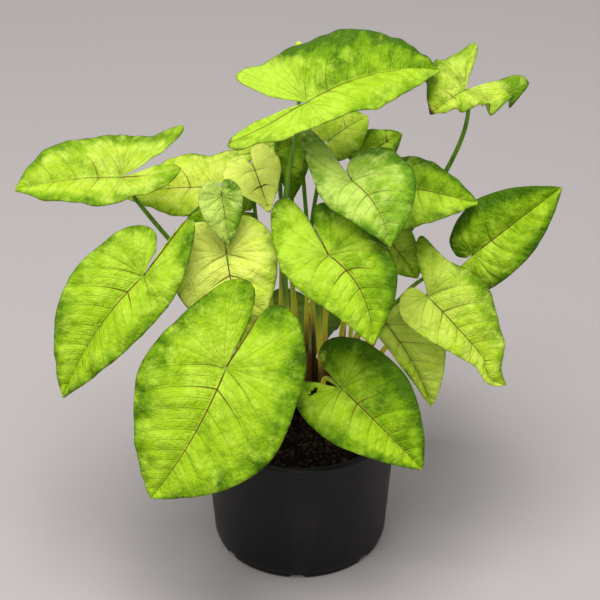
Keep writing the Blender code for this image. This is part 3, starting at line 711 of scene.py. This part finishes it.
leafTones = {
    "green": {"light": (0.385, 0.600, 0.012, 1), "mid": (0.185, 0.355, 0.003, 1),
              "deep": (0.048, 0.135, 0.001, 1), "pale": (0.560, 0.780, 0.060, 1), "level": 0.57},
    "lime": {"light": (0.500, 0.690, 0.030, 1), "mid": (0.280, 0.480, 0.010, 1),
             "deep": (0.110, 0.240, 0.002, 1), "pale": (0.690, 0.830, 0.120, 1), "level": 0.58},
    "yellow": {"light": (0.720, 0.850, 0.070, 1), "mid": (0.480, 0.670, 0.020, 1),
               "deep": (0.170, 0.320, 0.004, 1), "pale": (0.830, 0.900, 0.180, 1), "level": 0.59},
    "pale": {"light": (0.430, 0.640, 0.050, 1), "mid": (0.220, 0.420, 0.014, 1),
             "deep": (0.080, 0.205, 0.003, 1), "pale": (0.660, 0.820, 0.170, 1), "level": 0.53,
             "shine": 0.15},
}
leafFinish = {"glow": 0.30, "rough": (0.30, 0.42), "underRough": (0.5, 0.6), "shine": 0.11,
              "bump": (0.75, 0.0009), "wrinkle": 3.6, "rib": (0.150, 0.062, 0.012, 1),
              "edge": (0.085, 0.120, 0.008, 1), "dry": (0.120, 0.055, 0.016, 1),
              "through": (1.0, 1.0, 0.42, 1), "underside": (0.340, 0.560, 0.090, 1)}
# how much each pattern adds to the mottling, and how far from the tone's level mid and deep green set in
leafMottle = {"blotch": 0.42, "streak": 0.25, "cloud": 0.33, "dark": 0.12, "margin": 0.19, "pepper": 0.13,
              "midFrom": 0.15, "midTo": 0.02, "deepTo": 0.15, "deepest": 0.9}
# how strongly each kind of vein shows
leafVeins = {"side": 0.30, "underSide": 0.5, "thread": 0.03, "ribGlow": 0.30, "red": 0.75, "underRib": 0.45}


def skinColour(tree, tone, where, across, along, number, reach, dark, pale):
    # light skin, with mid and deep green blotches drawn out along the side veins and thicker near the edge,
    # and pale marbling that is thickest round the joint; the dark and pale inputs shift both per half, partly
    # as the leaf's own mottling and partly as painted shade and painted light
    share = leafMottle
    streaks = joined(tree, times(tree, number, 1.9), times(tree, reach, 1.4), along)
    cloud = noise(tree, where, 0.50, 3, 0.5)
    blotch = noise(tree, where, 1.30, 6, 0.62)
    streak = noise(tree, streaks, 1.3, 6, 0.66)
    pepper = noise(tree, where, 10.0, 3, 0.7)
    margin = step(tree, reach, 0.55, 1.0)
    mottle = weighted(tree, (blotch, share["blotch"]), (streak, share["streak"]), (cloud, share["cloud"]),
                      (dark, share["dark"]), (margin, share["margin"]),
                      (calc(tree, "SUBTRACT", pepper, 0.5), share["pepper"]))
    level = tone["level"]
    green = step(tree, mottle, level - share["midFrom"], level + share["midTo"])
    colour = mixColour(tree, green, tone["light"], tone["mid"])
    deep = step(tree, mottle, level, level + share["deepTo"])
    colour = mixColour(tree, times(tree, deep, share["deepest"]), colour, tone["deep"])
    near = step(tree, calc(tree, "ADD", times(tree, across, across), times(tree, along, along)), 11.0, 0.2)
    marble = noise(tree, where, 1.1, 5, 0.6)
    glow = weighted(tree, (marble, 0.6), (streak, 0.4), (pale, 0.09), (near, 0.09), (deep, -0.05))
    return mixColour(tree, step(tree, glow, 0.50, 0.74, 0.0, 0.8), colour, tone["pale"]), pepper, blotch


def veinColour(tree, colour, tone, number, reach, rib, red, under):
    # thin pale side veins with finer threads between, red-brown near the joint, and a brown midrib
    show = leafVeins
    near = calc(tree, "PINGPONG", number, 0.5)
    line = step(tree, calc(tree, "DIVIDE", near, step(tree, reach, 0.0, 1.0, 0.075, 0.030)), 1.0, 0.3)
    line = times(tree, line, step(tree, reach, 0.96, 0.80))
    threads = step(tree, calc(tree, "PINGPONG", times(tree, number, 4.0), 0.5), 0.14, 0.02)
    threads = times(tree, threads, step(tree, reach, 0.95, 0.7))
    main = calc(tree, "PINGPONG", times(tree, number, 0.5), 0.5)
    main = step(tree, calc(tree, "DIVIDE", main, step(tree, reach, 0.0, 0.8, 0.050, 0.014)), 1.0, 0.4)
    started = step(tree, calc(tree, "ABSOLUTE", number), 4.8, 2.4)
    redLine = times(tree, main, started, step(tree, reach, 0.75, 0.15), red, show["red"])
    ribLine = times(tree, step(tree, rib, 1.25, 0.75), step(tree, red, -0.4, 1.0, 0.3, 0.9))
    beside = step(tree, rib, 4.5, 1.0)
    for pattern, amount in ((line, show["underSide" if under else "side"]), (threads, show["thread"]),
                            (beside, show["ribGlow"])):
        colour = mixColour(tree, times(tree, pattern, amount), colour, tone["pale"])
    brown = calc(tree, "MAXIMUM", redLine, times(tree, ribLine, show["underRib"] if under else 1.0))
    return mixColour(tree, brown, colour, leafFinish["rib"]), line, threads, main


def leafMaterial(name, tone, under):
    # skin and veins, a dark rim and dry edges, with light coming through; under is for the lower face
    material, tree = newMaterial(name)
    where, across, along, _ = readAttribute(tree, "leafPlace")
    _, number, reach, rib = readAttribute(tree, "leafVein")
    # dark and pale carry both the leaf's own mottling and painted shade and painted light
    _, dark, pale, red = readAttribute(tree, "leafLooks")
    _, length, brown, _ = readAttribute(tree, "leafEnds")
    colour, pepper, blotch = skinColour(tree, tone, where, across, along, number, reach, dark, pale)
    if under:
        colour = mixColour(tree, 0.55, colour, leafFinish["underside"])
    colour, line, threads, main = veinColour(tree, colour, tone, number, reach, rib, red, under)
    rim = weighted(tree, (reach, 1.0), (calc(tree, "SUBTRACT", blotch, 0.5), 0.06))
    colour = mixColour(tree, step(tree, rim, 0.975, 1.0, 0.0, 0.45), colour, leafFinish["edge"])
    dryTip = step(tree, weighted(tree, (length, 1.0), (pepper, 0.08)), 0.93, 1.0)
    dryRim = times(tree, step(tree, reach, 0.90, 0.99), step(tree, blotch, 0.56, 0.64))
    crisp = times(tree, calc(tree, "MAXIMUM", dryTip, dryRim), brown)
    colour = mixColour(tree, crisp, colour, leafFinish["dry"])
    grain = noise(tree, where, 38.0, 3, 0.6)
    wrinkle = noise(tree, where, 3.6, 4, 0.6)
    way = 1.0 if under else -1.0
    height = weighted(tree, (line, 0.55 * way), (threads, 0.22 * way), (main, 0.8 * way), (grain, 0.14),
                      (wrinkle, leafFinish["wrinkle"]), (blotch, 1.2))
    normal = bump(tree, height, *leafFinish["bump"])
    rough = step(tree, pepper, 0.35, 0.65, *leafFinish["underRough" if under else "rough"])
    skin = surface(tree, colour, rough, normal, tone.get("shine", leafFinish["shine"]))
    shown = mixColour(tree, 1.0, colour, leafFinish["through"], "MULTIPLY")
    through = addNode(tree, "ShaderNodeBsdfTranslucent", {"Color": shown}).outputs[0]
    both = addNode(tree, "ShaderNodeMixShader", {0: leafFinish["glow"], 1: skin, 2: through})
    output(tree, both.outputs[0])
    return material


leafSkins = {tone: [leafMaterial(tone + "Leaf", values, False),
                    leafMaterial(tone + "LeafUnder", values, True)] for tone, values in leafTones.items()}


# Stalks

# baseFrom, blushFrom and the From of the dark brown painted shade low down: where a colour sets in and is
# full, in cm along the stalk from its lower end
stalkShape = {"depth": 8, "tip": 1.15, "tipEnd": 0.3, "runOn": 7, "under": 1.05, "rise": 0.45, "arrive": 0.28,
              "rings": 70, "sides": 14, "sheath": 0.55, "sheathHeight": 26, "groove": 0.16, "shine": 0.2,
              "green": (0.150, 0.310, 0.018, 1), "dark": (0.055, 0.145, 0.008, 1),
              "base": (0.840, 0.800, 0.050, 1), "blush": (0.700, 0.260, 0.050, 1),
              "paintedLowShade": (0.045, 0.026, 0.010, 1), "baseFrom": (12.0, 8.0), "blushFrom": (8.6, 6.8),
              "paintedLowShadeFrom": (7.4, 5.4), "paintedLowShadeShare": 0.85}


def stalkPath(leaf):
    # up out of the soil, over into the joint along a cubic curve, then on under the midrib
    shape = stalkShape
    joint = np.array(leaf["joint"], float)
    top = np.array([*leaf["foot"], soilShape["top"] + 3.0])
    bottom = np.array([*leaf["foot"], soilShape["top"] - shape["depth"]])
    chord, _, normal = leafAxes(leaf)
    half = math.radians(leaf["bend"]) / 2
    tangent = chord * math.cos(half) + normal * math.sin(half)
    under = joint - normal * shape["under"]
    arrive = tangent * leaf["over"] + np.array([0, 0, 1.0]) * (1 - leaf["over"])
    arrive /= np.linalg.norm(arrive)
    reach = joint - top
    p1 = top + np.array([0, 0, abs(reach[2]) * shape["rise"]])
    p2 = under - arrive * np.linalg.norm(reach) * shape["arrive"]
    t = np.linspace(0, 1, 24)[:, None]
    path = (1 - t) ** 3 * top + 3 * (1 - t) ** 2 * t * p1 + 3 * (1 - t) * t**2 * p2 + t**3 * under
    return smoothCurve(np.vstack([bottom, path, under + tangent * shape["runOn"]]), shape["rings"])


def tube(name, path, radius, sides, materials, section):
    # rings that stand square to the path, each with its radius times what section gives round it and along it
    forward = np.gradient(path, axis=0)
    forward /= np.linalg.norm(forward, axis=1, keepdims=True)
    flat = np.cross(path[-1] - path[0], [0, 0, 1.0])
    flat = flat / np.linalg.norm(flat) if np.linalg.norm(flat) > 1e-3 else np.array([1.0, 0, 0])
    second = np.cross(forward, flat)
    second /= np.linalg.norm(second, axis=1, keepdims=True)
    first = np.cross(second, forward)
    turn = np.linspace(0, 2 * np.pi, sides, endpoint=False)
    share = np.linspace(0, 1, len(path))
    size = np.asarray(radius, float)[:, None] * section(turn[None, :], share[:, None])
    points = path[:, None] + size[..., None] * (np.cos(turn)[:, None] * first[:, None]
                                                + np.sin(turn)[:, None] * second[:, None])
    points = np.vstack([points.reshape(-1, 3), path[:1], path[-1:]])
    travelled = np.append(0, np.cumsum(np.linalg.norm(np.diff(path, axis=0), axis=1))) / 10  # in cm
    spots = np.zeros((len(points), 3))
    spots[:, 0] = np.append(np.repeat(travelled, sides), [0, travelled[-1]])
    return newPiece(name, points, ringFaces(len(path), sides), materials, {"tubePlace": spots})


def stalkMaterial(name, shape, base, blush):
    # deep green above, then yellow with an orange blush, and dark brown painted shade low down, streaked
    # lengthways
    material, tree = newMaterial(name)
    _, distance, _, _ = readAttribute(tree, "tubePlace")
    where = objectPlace(tree)
    streak = noise(tree, where, 420, 4, 0.6, (1, 1, 0.08))
    cloud = noise(tree, where, 45, 4, 0.6)
    colour = mixColour(tree, step(tree, streak, 0.35, 0.7), shape["green"], shape["dark"])
    foot = step(tree, weighted(tree, (distance, 1.0), (cloud, 1.6)), *shape["baseFrom"])
    colour = mixColour(tree, times(tree, foot, base), colour, shape["base"])
    low = step(tree, weighted(tree, (distance, 1.0), (streak, 3.0)), *shape["blushFrom"])
    colour = mixColour(tree, times(tree, low, blush), colour, shape["blush"])
    # dark brown painted shade over the lowest few cm, where the stalks stand in shade near the soil
    reach = weighted(tree, (distance, 1.0), (cloud, 2.0))
    paintedLowShadeAmount = step(tree, reach, *shape["paintedLowShadeFrom"], 0.0, shape["paintedLowShadeShare"])
    colour = mixColour(tree, paintedLowShadeAmount, colour, shape["paintedLowShade"])
    rough = step(tree, cloud, 0.3, 0.7, 0.34, 0.5)
    output(tree, surface(tree, colour, rough, bump(tree, streak, 0.3, 0.0004), shape["shine"]))
    return material


stalkSkin = stalkMaterial("stalkSkin", stalkShape, 0.75, 0.5)
stemSkin = stalkMaterial("stemSkin", stalkShape, 1.0, 0.9)


def grooved(turn, share):
    # the section is dented on one side, most at the foot, where the sheath opens
    return 1 - stalkShape["groove"] * np.exp(-((turn - np.pi / 2) / 0.5) ** 2) * (1 - share)


def stalk(name, leaf):
    # tapers from the leaf's stalk radius to the tip's, and swells into a sheath near the soil
    shape = stalkShape
    path = stalkPath(leaf)
    share = np.linspace(0, 1, len(path))
    above = np.maximum(path[:, 2] - soilShape["top"], 0)
    radius = leaf["stalk"] + (shape["tip"] - leaf["stalk"]) * share**1.6
    radius = radius * (1 + shape["sheath"] * np.exp(-(above / shape["sheathHeight"]) ** 2))
    radius[-1] *= shape["tipEnd"]
    return tube(name + "_stalk", path, radius, shape["sides"], [stalkSkin], grooved)


for order, (name, changes) in enumerate(leaves.items()):
    leaf = {**leafDefaults, **changes}
    seed = bladeShape["firstSeed"] + bladeShape["seedStep"] * order
    made = blade(name + "_blade", leaf, leafSkins[leaf["tone"]], seed)
    place(made, name)
    place(stalk(name, leaf), name)
print("leaves are made:", len(leaves))


# Short stems and the rolled leaf in their midst

stemSizes = {"stem_left": dict(foot=(-20, 24), radius=4.2, height=34, lean=(3, 6)),
             "stem_right": dict(foot=(24, 14), radius=4.6, height=30, lean=(-4, 4)),
             "stem_middle": dict(foot=(4, 26), radius=4.0, height=38, lean=(2, 5)),
             "rolled_leaf": dict(foot=(-14, 3), radius=2.6, height=96, lean=(-12, -12))}
stemShape = {"straight": 0.15, "taper": 0.75, "sides": 28, "rings": 60, "scars": 4}


def rolled(turn, share):
    # the section spirals: it steps out once round, and the step climbs as it goes up
    return 0.94 + 0.16 * (((turn + 9 * share) / (2 * np.pi)) % 1)


def ringed(turn, share):
    # old leaf scars stand out as low rings
    scar = np.exp(-((((share * stemShape["scars"]) % 1) - 0.5) / 0.12) ** 2)
    return 1 + 0.07 * scar + 0.02 * np.sin(5 * turn + 20 * share)


# each goes up from below the soil, leans out as a parabola and tapers to a rounded top
for name, stem in stemSizes.items():
    share = np.linspace(0, 1, stemShape["rings"])
    up = np.maximum((share - stemShape["straight"]) / (1 - stemShape["straight"]), 0)
    depth = stalkShape["depth"]
    height = soilShape["top"] - depth + share * (stem["height"] + depth)
    flat = np.array(stem["foot"]) + up[:, None] ** 2 * np.array(stem["lean"])
    path = np.column_stack([flat, height])
    radius = stem["radius"] * (1 - stemShape["taper"] * up**1.6)
    radius[-4:] *= np.array([0.95, 0.8, 0.55, 0.2])
    section, skin = (rolled, stalkSkin) if name == "rolled_leaf" else (ringed, stemSkin)
    place(tube(name + "_skin", path, radius, stemShape["sides"], [skin], section), name)
print("stems are made")
